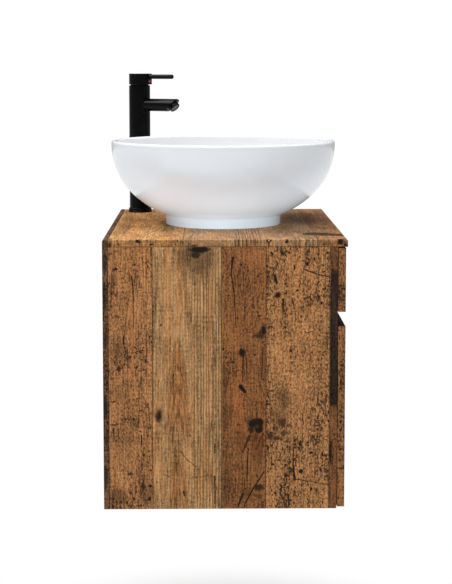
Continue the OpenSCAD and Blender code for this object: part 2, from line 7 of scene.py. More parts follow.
import bmesh
import bpy
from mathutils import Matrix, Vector


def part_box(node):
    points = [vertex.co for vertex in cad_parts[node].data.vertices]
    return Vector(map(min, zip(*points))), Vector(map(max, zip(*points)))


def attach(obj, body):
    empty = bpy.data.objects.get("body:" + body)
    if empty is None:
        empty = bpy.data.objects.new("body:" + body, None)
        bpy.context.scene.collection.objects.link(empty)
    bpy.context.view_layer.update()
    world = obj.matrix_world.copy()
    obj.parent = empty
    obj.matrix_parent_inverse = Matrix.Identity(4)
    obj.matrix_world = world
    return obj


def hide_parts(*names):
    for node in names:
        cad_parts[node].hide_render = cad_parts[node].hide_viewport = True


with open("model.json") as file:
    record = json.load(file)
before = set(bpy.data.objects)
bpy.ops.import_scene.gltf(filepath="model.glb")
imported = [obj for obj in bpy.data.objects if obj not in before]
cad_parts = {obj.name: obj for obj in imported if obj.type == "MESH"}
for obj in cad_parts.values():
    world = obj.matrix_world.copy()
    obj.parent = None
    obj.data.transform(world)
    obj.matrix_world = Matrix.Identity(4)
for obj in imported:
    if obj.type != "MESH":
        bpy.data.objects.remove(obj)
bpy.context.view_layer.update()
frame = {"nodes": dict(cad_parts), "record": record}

nodes = frame["nodes"]
record = frame["record"]

# Driving places, all from the frame
TOP_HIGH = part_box("countertop")[1]
TOP_Z = TOP_HIGH.z
HALF_W = TOP_HIGH.x
BACK_Y = TOP_HIGH.y
FRONT_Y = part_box("lower_drawer_front")[0].y
TAP = sum(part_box("tap_shank"), Vector()) / 2


# ---------- node trees ----------

class Value:
    """An output socket that adds and multiplies as a number does."""

    def __init__(self, graph, socket):
        self.graph, self.socket = graph, socket

    def math(self, operation, *others):
        return self.graph.math(operation, self, *others)

    def __add__(self, other):
        return self.math("ADD", other)

    def __sub__(self, other):
        return self.math("SUBTRACT", other)

    def __rsub__(self, other):
        return self.graph.math("SUBTRACT", other, self)

    def __mul__(self, other):
        return self.math("MULTIPLY", other)

    __radd__, __rmul__ = __add__, __mul__

    def __abs__(self):
        return self.math("ABSOLUTE")

    def max(self, other):
        return self.math("MAXIMUM", other)

    def over(self, limit):
        return self.math("GREATER_THAN", limit)

    def smooth(self, low, high, top=1.0):
        """0 at low, top at high, with a soft start and end. low may be the larger one."""
        return self.graph.add("MapRange", {0: self, 1: low, 2: high, 4: top},
                              interpolation_type="SMOOTHSTEP", clamp=False)


class Graph:
    """A material under construction."""

    def __init__(self, name):
        self.material = bpy.data.materials.new(name)
        self.material.use_nodes = True
        self.tree = self.material.node_tree
        self.tree.nodes.clear()

    def add(self, kind, inputs=None, out=0, **settings):
        node = self.tree.nodes.new("ShaderNode" + kind)
        for key, value in settings.items():
            setattr(node, key, value)
        for key, value in (inputs or {}).items():
            if isinstance(value, Value):
                self.tree.links.new(value.socket, node.inputs[key])
            else:
                node.inputs[key].default_value = value
        return Value(self, node.outputs[out]) if node.outputs else None

    def math(self, operation, *values):
        return self.add("Math", dict(enumerate(values)), operation=operation)

    def vector(self, operation, *values, out=0, **inputs):
        return self.add("VectorMath", {**dict(enumerate(values)), **inputs}, out=out,
                        operation=operation)

    def combine(self, x=0.0, y=0.0, z=0.0):
        return self.add("CombineXYZ", {0: x, 1: y, 2: z})

    def separate(self, vector):
        first = self.add("SeparateXYZ", {0: vector})
        return [Value(self, s) for s in first.socket.node.outputs]

    def noise(self, vector, scale=(1, 1, 1), detail=2.0, roughness=0.5, dimensions="2D", out=0):
        place = self.vector("MULTIPLY", vector, scale)
        return self.add("TexNoise", {"Vector": place, "Scale": 1.0, "Detail": detail,
                                     "Roughness": roughness},
                        out=out, noise_dimensions=dimensions)

    def mix(self, factor, a, b):
        """Mixes two colours."""
        return self.add("Mix", {0: factor, 6: a, 7: b}, out=2, data_type="RGBA")

    def ramp(self, value, stops, interpolation="LINEAR"):
        result = self.add("ValToRGB", {0: value})
        ramp = result.socket.node.color_ramp
        ramp.interpolation = interpolation
        ramp.elements.remove(ramp.elements[1])
        for i, (place, colour) in enumerate(stops):
            element = ramp.elements[0] if i == 0 else ramp.elements.new(place)
            element.position = place
            element.color = (*colour, 1)
        return result

    def coordinates(self, out="Object"):
        return self.add("TexCoord", out=out)

    def bump(self, height, distance, strength=1.0):
        return self.add("Bump", {"Height": height, "Distance": distance, "Strength": strength})

    def finish(self, colour, roughness, bump=None, **shader):
        """Closes the tree with one Principled shader. shader sets its other sockets, as constants."""
        inputs = {"Base Color": colour, "Roughness": roughness,
                  **{key.replace("_", " "): value for key, value in shader.items()}}
        if bump:
            inputs["Normal"] = bump
        surface = self.add("BsdfPrincipled", inputs)
        self.add("OutputMaterial", {"Surface": surface})
        return self.material


# ---------- wood ----------

# Linear base colours of the planks
ORANGE = (0.355, 0.160, 0.059)
PINE = (0.395, 0.218, 0.092)
RUST = (0.240, 0.097, 0.032)
TAN = (0.362, 0.170, 0.064)
BROWN = (0.270, 0.116, 0.041)
BARK = (0.170, 0.071, 0.026)
CHAR = (0.037, 0.020, 0.012)
UMBER = (0.155, 0.078, 0.037)
DARK = (0.014, 0.009, 0.006)
GOLD = (0.63, 0.318, 0.114)
HONEY = (0.525, 0.290, 0.130)
CHESTNUT = (0.455, 0.220, 0.088)
WORN = (0.50, 0.33, 0.17)
RED_TINT = (0.90, 0.72, 0.58)


class Wood(Graph):
    """Old planks side by side. u runs across them and v along them, in millimetres.

    across, along and through are each (axis, sign, start): the distance from start along the axis.
    On a board's narrow faces the pattern carries on round the corner, with painted shade on them: lighter or
    darker by edge.
    planks are (u where it starts, base colour, amount of pits 0 to 1, strength of fine lines 0 to 1)."""

    def __init__(self, name, across, along, through, planks, width, edge=0.0):
        super().__init__(name)
        place = self.separate(self.vector("SCALE", self.coordinates(), Scale=1000.0))
        facing = [abs(n) for n in self.separate(self.coordinates("Normal"))]

        def distance(axis, sign, start):
            i = "XYZ".index(axis)
            return place[i] * sign + -sign * start * 1000

        inward = distance(*through)
        side, self.end = (facing["XYZ".index(axis)].over(0.5) for axis in (across[0], along[0]))
        self.u = distance(*across) + inward * side
        self.v = distance(*along) + inward * self.end
        # Painted shade: below 0, edge makes the narrow faces darker than the broad ones.
        self.shade = (side + self.end) * edge + 1.0
        self.at = self.combine(self.u, self.v)
        self.planks, self.width = planks, width
        share = self.u * (1 / width)
        self.base = self.ramp(share, [(max(p[0], 0) / width, p[1]) for p in planks], "CONSTANT")
        # Each plank's amounts, and its own place in the noise
        amounts = self.ramp(share, [(max(p[0], 0) / width, (p[2], p[3], 0.13 + 0.17 * (i * 3 % 5)))
                                    for i, p in enumerate(planks)], "CONSTANT")
        self.pits, self.lines, seed = self.separate(amounts)
        shift = self.vector("SCALE", self.combine(7.0, 3.0, 0.0), Scale=seed * 1000.0)
        self.shifted = self.vector("ADD", self.at, shift)
        warp = self.noise(self.at, (0.16, 0.09, 0), detail=3, roughness=0.65, out=1)
        self.warp = self.vector("MULTIPLY", self.vector("SUBTRACT", warp, (0.5, 0.5, 0.5)), (6, 8, 0))
        self.ragged = self.vector("ADD", self.at, self.warp)
        self.dark = 0.0
        self.tint = 0.0
        self.pale = 0.0

    def field(self, across, along, detail=2.0, roughness=0.5):
        """Noise that differs from plank to plank; the numbers are cycles per millimetre."""
        return self.noise(self.shifted, (across, along, 0), detail, roughness)

    def darken(self, mask):
        self.dark = mask.max(self.dark)

    def crack(self, u1, v1, u2, v2, w1, w2, strength=1.0):
        """A dark line that runs from one point to the other, w1 and w2 wide at its ends."""
        start, run = Vector((u1, v1, 0)), Vector((u2 - u1, v2 - v1, 0))
        offset = self.vector("SUBTRACT", self.thin, start)
        along = self.vector("DOT_PRODUCT", offset, run / run.length_squared, out=1) \
            .math("MINIMUM", 1.0).max(0.0)
        beside = self.vector("SUBTRACT", offset, self.vector("SCALE", tuple(run), Scale=along))
        away = self.vector("LENGTH", beside, out=1) - along * ((w2 - w1) / 2)
        self.darken(away.smooth(w1 / 2 + 0.45, w1 / 2 - 0.25, strength))

    def spot(self, u, v, across, along, strength=1.0, soft=0.45):
        """A dark spot with ragged edges; across and along are its half sizes."""
        self.darken(self.ellipse(u, v, across, along).smooth(1 + soft, 1 - soft, strength))

    def ellipse(self, u, v, across, along):
        """1 on the outline of an ellipse, 0 at its middle."""
        scale = Vector((1 / across, 1 / along, 0))
        return self.vector("LENGTH", self.vector("MULTIPLY_ADD", self.ragged, tuple(scale),
                                                 (-u / across, -v / along, 0.0)), out=1)

    def flame(self, u, v, spread, length, strength):
        """A cathedral in the grain: nested arches that point up, with the apex at u, v."""
        sideways = (self.separate(self.thin)[0] - u) * (1 / spread)
        depth = (self.v - v) * 0.01 - sideways * sideways
        inside = depth.smooth(-0.02, 0.06) * self.v.smooth(v + length, v + 0.6 * length)
        self.tint = (inside * strength).max(self.tint)
        rings = (depth * 15.0 + self.field(0.05, 0.01) * 5.0).math("SINE").smooth(0.35, 1.0, 0.42 * strength)
        near = abs(self.u - u).smooth(spread * 1.25, spread * 0.8) * \
            depth.smooth(-0.35, 0.0) * self.v.smooth(v + length, v + 0.8 * length)
        self.darken(rings * near)

    def pitting(self, size, amount, depth):
        """Scattered ragged pits, one to a cell of the given size in mm. amount is the share of cells
        that have one, and may differ from place to place."""
        place = self.vector("SCALE", self.ragged, Scale=1 / size)
        away = self.add("TexVoronoi", {"Vector": place, "Scale": 1.0}, voronoi_dimensions="2D")
        chance = Value(self, away.socket.node.outputs["Color"])
        radius = (self.separate(chance)[0] - 1.0 + amount).math("MINIMUM", 0.34)
        self.darken((away - radius).smooth(0.05, -0.09, depth))

    def build(self, marks=None):
        """Closes the tree and returns its material. marks is a function that adds the board's own marks."""
        fibre = self.field(0.36, 0.020, 3, 0.65)
        streak = self.field(0.085, 0.0045, 2)
        mottle = self.field(0.026, 0.015, 3, 0.6)
        grit = self.field(0.33, 0.22, 2, 0.8)
        saw = self.field(0.03, 0.27, 1)
        bend = self.vector("SCALE", self.warp, Scale=0.28)
        self.thin = self.vector("ADD", self.at, bend)

        blotch = self.field(0.23, 0.15, 4, 0.65)
        cluster = self.field(0.021, 0.013, 2)
        rough_part = blotch + (cluster - 0.5) * 0.42 + self.pits * 0.085
        self.darken(rough_part.smooth(0.69, 0.76, 0.95))
        self.pitting(7.5, (cluster - 0.5) * 1.1 + self.pits * 0.34, 0.9)
        self.pitting(4.2, (cluster - 0.5) * 0.6 + self.pits * 0.30 + 0.06, 0.75)
        ticks = self.field(0.42, 0.055, 3, 0.6) + self.pits * 0.05 + (cluster - 0.5) * 0.2
        self.darken(ticks.smooth(0.665, 0.73, 0.8))
        split = abs(self.field(0.038, 0.0036, 3, 0.55) - 0.5) + (0.5 - cluster) * 0.05
        self.darken(split.smooth(0.0075, 0.002, 0.7) * self.pits.smooth(0.1, 0.6))
        self.darken(grit.smooth(0.63, 0.76, 0.8) * (self.pits * 0.8 + 0.08))
        lines = (self.u * 1.28 + streak * 9.0).math("SINE").smooth(-0.1, 1.0, 0.7)
        self.darken(lines * self.lines * fibre.smooth(0.3, 0.6))
        height = fibre * 0.25 - self.dark
        for before, plank in zip(self.planks, self.planks[1:]):
            if before[1] != plank[1]:
                seam = abs(self.separate(self.thin)[0] - plank[0])
                self.darken(seam.smooth(1.0, 0.3, 0.8))
        if marks:
            marks(self)

        coarse = (grit - 0.5) * (self.pits * 2.4 + 1.6) + (saw - 0.5) * 0.5
        tone = (fibre - 0.5) * (self.pits * -0.9 + 2.3) + (streak - 0.5) * 0.9 + (mottle - 0.5) * 1.1 + \
            coarse + 1.0
        colour = self.vector("SCALE", self.base, Scale=tone * self.shade)
        reddish = self.vector("MULTIPLY", colour, RED_TINT)
        tint = (streak.smooth(0.48, 0.72, 0.75) * (self.pits * -0.45 + 1.0)).max(self.tint)
        colour = self.mix(tint, colour, reddish)
        colour = self.mix(self.pale, colour, (*WORN, 1)) if self.pale else colour
        colour = self.mix(self.dark, colour, (*DARK, 1))
        roughness = 0.58 + self.dark * 0.2
        return self.finish(colour, roughness, self.bump(height, 0.00035, 0.55),
                           Specular_IOR_Level=0.1)


def side_marks(wood):
    """The knots, splits and stains of the side panel: u from its rear edge, v from the worktop's top."""
    worn_smooth = wood.ellipse(322, 190, 50, 100).smooth(1.25, 0.5, 0.55)
    wood.dark = wood.dark * (worn_smooth * -1.0 + 1.0)
    for mark in (
        # orange-brown board
        (48, 60, 50.4, 83, 2.4, 1.4), (50.4, 83, 50.4, 144, 1.3, 0.7), (42, 97, 35, 163, 1.0, 0.6, 0.8),
        (69, 163, 78, 167, 1, 1, 0.7), (21, 192, 26, 212, 1.6, 1.4, 0.8),
        (14, 195, 26, 213, 1.3, 1.4, 0.8), (72, 200, 79.5, 208, 1.2, 1, 0.8),
        (17, 312, 17, 330, 2.2, 1.6, 0.9), (25, 312, 25, 330, 1.8, 1.2, 0.9),
        (62.4, 324, 62.4, 340, 2.6, 1.6), (66, 389, 66, 404, 1.4, 1.2), (53, 409, 53, 421, 1.5, 1.2),
        (11, 431, 43, 431, 1.2, 0.8, 0.7), (60, 70, 60, 78, 1.6, 1.2, 0.8),
        (70, 213, 70, 222, 1.4, 1, 0.8),
        # pine board
        (100, 16, 101, 43, 1.4, 0.9, 0.7), (137.5, 50, 135, 117, 1.2, 0.9, 0.6),
        (135, 117, 141, 151, 1, 0.8, 0.5), (158, 49, 148, 83, 1.2, 0.9, 0.5),
        (126, 350, 138, 366, 1.3, 1.2, 0.9), (138, 366, 153.5, 377, 1.2, 0.9, 0.9),
        (183, 339, 183, 353, 1.7, 1.4), (183, 392, 183, 440, 1.7, 1.4),
        (145, 395, 180, 391, 1.6, 1.4, 0.45), (98, 389, 117, 398, 1, 0.9, 0.6),
        (156, 354, 181, 350, 1, 1, 0.4),
        # rust board
        (212, 30, 210, 56, 3.4, 1.8), (210, 56, 215, 91, 1.8, 1.8), (215, 91, 217.5, 144, 1.8, 1.0),
        (209, 35, 203, 49, 1.4, 1.2, 0.8), (203, 49, 197, 56, 1.2, 1, 0.8),
        (209, 56, 194, 72, 1.2, 1, 0.8), (245, 106, 236, 122, 1.2, 1, 0.7),
        (262, 149, 244, 161, 3.2, 1.2, 0.8), (229, 190, 229, 235, 2.2, 1.3, 0.9),
        (235, 195, 236, 229, 1.8, 1.2, 0.8), (261, 180, 260, 229, 2.2, 2, 0.8),
        (213, 218, 225, 215, 1.4, 1, 0.8), (225, 242, 232, 251, 6.5, 5.5),
        (240, 326, 228, 354, 5, 2, 0.8), (262, 322, 252, 346, 4, 2, 0.7),
        (252, 284, 252, 300, 1, 3.5, 0.8), (238, 346, 236, 394, 1.9, 1.4),
        (264, 386, 246, 415, 1.8, 2.2), (246, 415, 231, 443, 2.2, 1.6), (229, 423, 222, 443, 3.4, 2.4),
        (262, 330, 258, 372, 2.2, 1.2, 0.6), (246, 326, 244, 352, 1.8, 1, 0.5),
        # tan board
        (294.5, 98, 294.5, 120, 3, 1.8), (309, 96, 313, 112, 1.8, 1.4), (338, 93, 341, 100, 2, 1.4),
        (328, 48.5, 348, 56, 1.6, 1.6), (348, 56, 371, 61.5, 1.6, 1.1),
        (331, 154, 342, 151, 1.8, 1.6, 0.7), (342, 151, 355, 158, 1.6, 1.2, 0.7),
        (339, 194, 338, 212, 1.2, 1.2, 0.7), (268, 318, 274, 330, 1.6, 1.8),
        (270, 345.5, 281, 345.5, 1.2, 1, 0.8), (312, 344, 312, 375, 1.1, 1.8),
        (312, 375, 315, 398, 2.4, 4), (315, 398, 371, 408, 1.6, 1, 0.8), (305, 426, 305, 444, 1.8, 1.8),
        (302, 132, 305, 160, 1, 1, 0.5), (281, 59, 284, 72, 3.6, 3),
    ):
        wood.crack(*mark)
    for mark in (
        # rear strip
        (4, 35, 4, 18, 0.8), (3, 92, 3, 26, 0.85), (5, 160, 4, 20, 0.7), (3, 276, 4, 22, 0.9),
        (5, 330, 3, 14, 0.8), (3, 395, 4, 20, 0.85),
        # orange-brown board
        (21, 48, 4.5, 2.2), (16, 87, 4, 4, 0.6), (23, 126, 4, 3, 0.7), (24, 175, 5, 4, 0.6),
        (26, 213, 4, 5, 0.9), (14, 253, 4, 4, 0.6), (17, 267, 4.5, 2.6, 0.9), (49.7, 298, 1.7, 3.6),
        (18.5, 305, 6.5, 1.8, 0.9), (43, 389, 4, 3, 0.8), (65, 411, 5, 7, 0.85), (76.6, 409, 3.2, 2.6),
        (50, 431, 3.4, 1.8), (75, 431, 3, 3), (24, 425, 14, 12, 0.5, 0.7), (68, 420, 12, 16, 0.5, 0.7),
        (22, 180, 11, 22, 0.42, 0.7), (20, 60, 7, 22, 0.3, 0.8), (24, 255, 12, 14, 0.4, 0.7),
        (48, 240, 22, 7, 0.25, 0.7), (40, 330, 26, 8, 0.3, 0.7),
        # pine board
        (158, 16, 22, 6, 1, 0.5), (138, 30, 13, 22, 0.6, 0.7), (160, 33, 24, 19, 0.6, 0.75),
        (95, 140, 3, 2.2, 0.8), (142, 20, 10, 10, 0.6, 0.7), (176, 26, 8, 9, 0.55, 0.7),
        (147, 48, 5, 14, 0.4, 0.8), (91, 291, 6, 12, 0.95, 0.6), (92, 291, 3, 8, 1, 0.5),
        (132, 421, 1.3, 4.5), (152, 24, 9, 8, 0.95), (133, 50, 4, 22, 0.5, 0.8),
        (126, 33, 4, 17, 0.5, 0.7), (168, 40, 4, 16, 0.35, 0.8),
        # rust board
        (212, 30, 2.6, 2.6), (226, 41, 1.6, 2), (231, 46, 1.6, 1.6), (237, 51, 1.8, 1.6),
        (224, 52, 1.4, 1.4), (253, 60, 2.2, 1.6), (263, 149, 4.5, 10), (256, 158, 9, 4.5, 0.8),
        (228, 186, 6, 7), (249, 190, 1.6, 1.8), (246, 304, 9, 8, 1, 0.3), (256, 302, 8, 7, 1, 0.3),
        (255, 313, 7, 9, 1, 0.3), (243, 314, 5, 7, 0.9, 0.5), (250, 326, 5, 8, 0.6, 0.7),
        (256, 412, 8.5, 6, 0.9), (217.5, 378, 5, 6, 0.5), (208, 359, 5, 5, 0.4), (257, 427, 6, 5, 0.6),
        (196, 62, 2, 4, 0.8), (197, 356, 2.4, 8, 0.6), (203, 292, 9, 22, 0.4, 0.7),
        (224, 330, 9, 24, 0.42, 0.8), (255, 356, 10, 26, 0.4, 0.8), (203, 400, 9, 32, 0.45, 0.7),
        (263, 200, 5, 30, 0.5, 0.7), (199, 235, 5, 26, 0.45, 0.7), (240, 300, 10, 9, 0.5, 0.7),
        (236, 425, 12, 12, 0.45, 0.7),
        # tan board
        (276, 23, 2.2, 2.4), (294, 23, 3.6, 2), (313, 45, 1.4, 4), (334, 40, 2.8, 2.8),
        (299, 72, 2.2, 2), (299, 87, 2.4, 2.2), (286, 91, 4.5, 5.5), (318, 83, 2.2, 2),
        (363, 81, 2.4, 2.2), (357, 104, 2, 2.6), (307, 183, 2.6, 3), (323.5, 338.5, 2.8, 4.8),
        (342, 354.5, 4.5, 2.2), (360, 357, 2.2, 4.2), (358, 382, 1.9, 3.2), (325, 385, 4, 4),
        (289, 366, 2.2, 2), (278.5, 373, 2.2, 2.2), (299.5, 374, 2, 2.2), (342, 415, 1.8, 4),
        (283, 423, 2.2, 2.6), (296, 262, 11, 16, 0.6, 0.75), (289, 292, 15, 17, 0.5, 0.8),
        (294, 303, 8, 8, 0.85, 0.6), (283, 314, 6, 5, 0.7, 0.6), (299, 275, 5, 6, 0.7, 0.6),
        (326, 112, 3, 3, 0.7), (280, 62, 5, 5, 0.5, 0.6), (304, 308, 5, 4, 0.6, 0.6),
        (274, 326, 5, 8, 0.85, 0.6), (285, 329, 9, 4.5, 0.8, 0.7), (297, 320, 8, 4, 0.7, 0.7),
        (290, 286, 10, 10, 0.45, 0.8),
        # dark strip
        (373.5, 353, 2.2, 20, 1, 0.4),
    ):
        wood.spot(*mark)
    wood.flame(123, 171, 17, 190, 1.0)
    wood.flame(123, 339, 15, 140, 0.9)
    wood.tint = wood.ellipse(252, 322, 16, 34).smooth(1.4, 0.5, 0.8).max(wood.tint)
    wood.pale = wood.ellipse(123, 155, 14, 6).smooth(1.4, 0.3, 0.4)
    light_core = wood.ellipse(253, 309, 3.4, 3).smooth(1.3, 0.5, 0.2)
    wood.dark = wood.dark - light_core
    on_strip = wood.u.over(371.5)
    upper, lower = wood.v.smooth(58, 46), wood.v.smooth(272, 279)
    wood.base = wood.mix(on_strip * upper.max(lower), wood.base, (*BARK, 1))


def top_marks(wood):
    """The worktop's splits and stains, with painted shade and shadow on it: u from its rear edge, v from its
    left end.
    """
    for mark in (
        (216, 2, 216.5, 12, 1.6, 1.4), (222, 2, 222, 12, 1.4, 1.2), (228.5, 2, 228, 12, 1.5, 1.2, 0.8),
        (235, 2, 235, 12, 1.4, 1.4, 0.8), (242, 2, 242, 12, 1.4, 1.2, 0.8),
        (249, 2, 249, 12, 1.4, 1.2, 0.7), (267, 1, 271, 5, 2, 2), (275, 1, 271, 5, 2, 2),
        (271, 5, 271, 12, 2.4, 1.8), (352, 78, 399, 60, 42, 26, 0.85), (143, 30, 150, 110, 3, 2, 0.5),
        (60, 30, 92, 180, 4, 2, 0.5), (300, 40, 312, 200, 3, 2, 0.5), (96, 120, 112, 330, 5, 2, 0.6),
        (30, 60, 34, 260, 4, 3, 0.45),
    ):
        wood.crack(*mark)
    for mark in (
        (58, 3, 5, 2.5), (80, 8, 3, 2), (300, 3, 3, 2), (388, 4, 6, 5), (396, 9, 3, 4),
        # (366, 7) paints shade on the front part of the near end face.
        (12, 8, 4, 4, 0.8), (26, 8, 3, 2, 0.7), (150, 10, 6, 2, 0.8), (366, 7, 10, 3, 0.5),
        # The long soft patches at u 348 and 384, towards the far end, are partly stain and partly painted
        # shadow of the basin.
        (348, 345, 36, 115, 0.63, 0.5), (24, 260, 12, 210, 0.4, 0.6), (310, 130, 34, 70, 0.35, 0.8),
        (384, 330, 14, 150, 0.5, 0.7), (150, 330, 40, 60, 0.35, 0.7), (104, 190, 14, 90, 0.5, 0.8),
        (110, 60, 12, 22, 0.4, 0.7),
    ):
        wood.spot(*mark)
    # Painted shadow: a thin dark line along the foot of the near end, under the overhang; it darkens the
    # whole far end too. Then painted shade on the rear part of both ends.
    wood.darken(wood.v.smooth(10.2, 11.4, 0.85) * wood.end)
    wood.darken(wood.u.smooth(134, 130, 0.2) * wood.end)


def front_marks(wood):
    """A drawer front's knots and splits. Its upper and lower edges are dark."""
    seed, width, count = len(wood.planks) + 11, 500, 20
    random_marks(seed, width, TOP_Z * 1000, count)(wood)
    wood.darken(wood.end * 0.85)


def random_marks(seed, width, length, count):
    """Marks for a board whose face isn't known: knots, splits and pits where a seeded draw puts them."""
    def draw(wood):
        rng = random.Random(seed)
        for i in range(count):
            u, v = rng.uniform(0.04, 0.96) * width, rng.uniform(0.05, 0.9) * length
            tall = rng.uniform(12, 55)
            wood.crack(u, v, u + rng.uniform(-4, 4), v + tall, rng.uniform(1, 3), rng.uniform(0.6, 1.6),
                       rng.uniform(0.7, 1))
        for i in range(count):
            u, v = rng.uniform(0.03, 0.97) * width, rng.uniform(0.03, 0.97) * length
            size = rng.choice((2, 2, 3, 4, 6, 10))
            wood.spot(u, v, size, size * rng.uniform(0.7, 1.6), rng.uniform(0.7, 1))
        wood.flame(rng.uniform(0.3, 0.6) * width, rng.uniform(0.1, 0.3) * length, 20, 0.5 * length, 0.8)
    return draw


SIDE_PLANKS = [(0, UMBER, 1.0, 0), (9, ORANGE, 0.55, 0.15), (81, PINE, 0.0, 0.25), (145, PINE, 0.0, 1.0),
               (194, RUST, 0.5, 0.0), (267, TAN, 0.85, 0.0), (371, CHAR, 0.6, 0.0)]


def plain_planks(seed, width, first=0):
    """Planks of differing widths, dealt from a seeded draw, to fill a board."""
    rng = random.Random(seed)
    looks = [(ORANGE, 0.6, 0.2), (PINE, 0.1, 0.8), (RUST, 0.5, 0.0), (TAN, 0.9, 0.0), (PINE, 0.0, 0.3)]
    result, u, i = [], 0, first
    narrowest = 30
    while u < width - narrowest:
        colour, pits, lines = looks[i % len(looks)]
        result.append((u, colour, pits, lines))
        u += rng.uniform(66, 112)
        i += rng.choice((1, 2))
    return result


def wood_materials():
    """One material for each wooden node that shows, keyed by the node."""
    depth, length = 400, TOP_Z * 1000
    across, along = ("Y", -1, BACK_Y), ("Z", -1, TOP_Z)
    left = Wood("wood_side_left", across, along, ("X", 1, -HALF_W), SIDE_PLANKS, depth)
    right = Wood("wood_side_right", across, along, ("X", -1, HALF_W), plain_planks(5, depth, 2), depth)
    # edge=-0.38 paints shade on the worktop's edges and ends, 38 % darker than its top.
    top = Wood("wood_worktop", across, ("X", 1, -HALF_W), ("Z", -1, TOP_Z),
               [(0, UMBER, 0.8, 0), (9, GOLD, 0.35, 0.2), (132, HONEY, 0.15, 0.3), (216, HONEY, 0.1, 1.0),
                (258, HONEY, 0.1, 0.3), (351, CHESTNUT, 0.45, 0.2)], 410, edge=-0.38)
    first_plank = 38
    fronts = [Wood(f"wood_front_{i}", ("X", 1, -HALF_W), along, ("Y", 1, FRONT_Y),
                   [(0, BROWN, 1.0, 0.0)]
                   + [(u + first_plank, *look) for u, *look in plain_planks(11 + i, 480, i)], 520)
              for i in range(2)]
    plain = Wood("wood_inside", across, ("X", 1, -HALF_W), ("Z", 1, 0.0), plain_planks(21, 420), 420)
    upright = Wood("wood_rail", along, ("X", 1, -HALF_W), ("Y", -1, BACK_Y), plain_planks(31, 460), 460)
    inside, rail = plain.build(), upright.build()
    return {
        "side_panel_left": left.build(side_marks),
        "side_panel_right": right.build(random_marks(3, 384, length, 22)),
        "countertop": top.build(top_marks),
        "upper_drawer_front": fronts[0].build(front_marks),
        "lower_drawer_front": fronts[1].build(front_marks),
        "bottom_panel": inside,
        "middle_rail": inside,
        "back_rail_upper": rail,
        "back_rail_lower": rail,
    }


# ---------- other materials ----------

def inner_board():
    """Wood decor of the drawer boxes, with its grain along each board."""
    g = Graph("drawer_board")
    place = g.coordinates()
    grain = g.noise(place, (26, 26, 330), 4, 0.6, "3D")
    broad = g.noise(place, (6, 6, 60), 2, 0.5, "3D")
    fine = g.noise(place, (120, 120, 1500), 2, 0.6, "3D")
    tone = grain * 0.9 + broad * 0.6 + fine * 0.3
    colour = g.ramp(tone, [(0.62, (0.10, 0.052, 0.026)), (0.86, (0.22, 0.115, 0.052)),
                           (1.15, (0.33, 0.19, 0.09))])
    return g.finish(colour, tone * 0.25 + 0.35, g.bump(tone, 0.0001, 0.4), Specular_IOR_Level=0.3)


def hardboard():
    g = Graph("drawer_hardboard")
    place = g.coordinates()
    felt = g.noise(place, (700, 700, 700), 4, 0.7, "3D")
    cloud = g.noise(place, (30, 30, 30), 3, 0.5, "3D")
    colour = g.ramp(felt * 0.6 + cloud * 0.4, [(0.35, (0.09, 0.05, 0.028)), (0.65, (0.17, 0.105, 0.06))])
    return g.finish(colour, 0.62, g.bump(felt, 0.0001, 0.5), Specular_IOR_Level=0.25)


def scaled(colour, factor):
    """The colour made darker or lighter, with an alpha of 1."""
    return (*(c * factor for c in colour), 1)


def powder_coat(name, colour, roughness, level):
    """A sprayed coating with a fine orange peel."""
    g = Graph(name)
    place = g.coordinates()
    peel = g.noise(place, (900, 900, 900), 2, 0.5, "3D")
    cloud = g.noise(place, (25, 25, 25), 3, 0.5, "3D")
    shade = g.mix(cloud, scaled(colour, 0.9), scaled(colour, 1.1))
    return g.finish(shade, cloud * 0.10 + (roughness - 0.05), g.bump(peel, 0.00004, 0.5),
                    Specular_IOR_Level=level)


def moulded(name, colour, roughness, level=0.5):
    """Moulded plastic or rubber, slightly uneven in gloss."""
    g = Graph(name)
    place = g.coordinates()
    flow = g.noise(place, (40, 40, 14), 3, 0.5, "3D")
    grain = g.noise(place, (1300, 1300, 1300), 2, 0.6, "3D")
    shade = g.mix(flow, scaled(colour, 0.93), (*colour, 1))
    return g.finish(shade, flow * 0.14 + (roughness - 0.07), g.bump(grain, 0.00003, 0.4),
                    Specular_IOR_Level=level)


def metal(name, colour, roughness, stretch):
    """Bare or plated metal with tool marks. stretch is the noise scale on each axis."""
    g = Graph(name)
    place = g.coordinates()
    lines = g.noise(place, stretch, 3, 0.6, "3D")
    cloud = g.noise(place, (60, 60, 60), 2, 0.5, "3D")
    shade = g.mix(cloud, scaled(colour, 0.82), (*colour, 1))
    return g.finish(shade, lines * 0.2 + (roughness - 0.1), g.bump(lines, 0.00003, 0.5), Metallic=1.0)


def glaze():
    """White glazed ceramic: a clean body under a thin, very slightly wavy glaze."""
    g = Graph("white_glaze")
    place = g.coordinates()
    wave = g.noise(place, (9, 9, 9), 2, 0.5, "3D")
    cloud = g.noise(place, (5, 5, 5), 2, 0.5, "3D")
    shade = g.mix(cloud, (0.70, 0.705, 0.725, 1), (0.73, 0.735, 0.75, 1))
    return g.finish(shade, wave * 0.04 + 0.10, g.bump(wave, 0.0006, 0.35), Specular_IOR_Level=0.3,
                    Coat_Weight=0.1, Coat_Roughness=0.05)


def mark_material():
    """The temperature mark: red on the side towards the lever's left, blue on the other."""
    g = Graph("red_blue_mark")
    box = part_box("temperature_mark")
    centre = (box[0] + box[1]) / 2
    out = Vector((centre.x - TAP.x, centre.y - TAP.y, 0)).normalized()
    side = Vector((-out.y, out.x, 0))
    offset = g.vector("SUBTRACT", g.coordinates(), tuple(centre))
    along = g.vector("DOT_PRODUCT", offset, tuple(side), out=1)
    sides = g.mix(along.over(0.0), (0.62, 0.012, 0.02, 1), (0.01, 0.05, 0.42, 1))
    haze = g.noise(g.coordinates(), (400, 400, 400), 2, 0.5, "3D")
    return g.finish(g.mix(haze * 0.2, sides, (0.3, 0.3, 0.3, 1)), haze * 0.1 + 0.25)


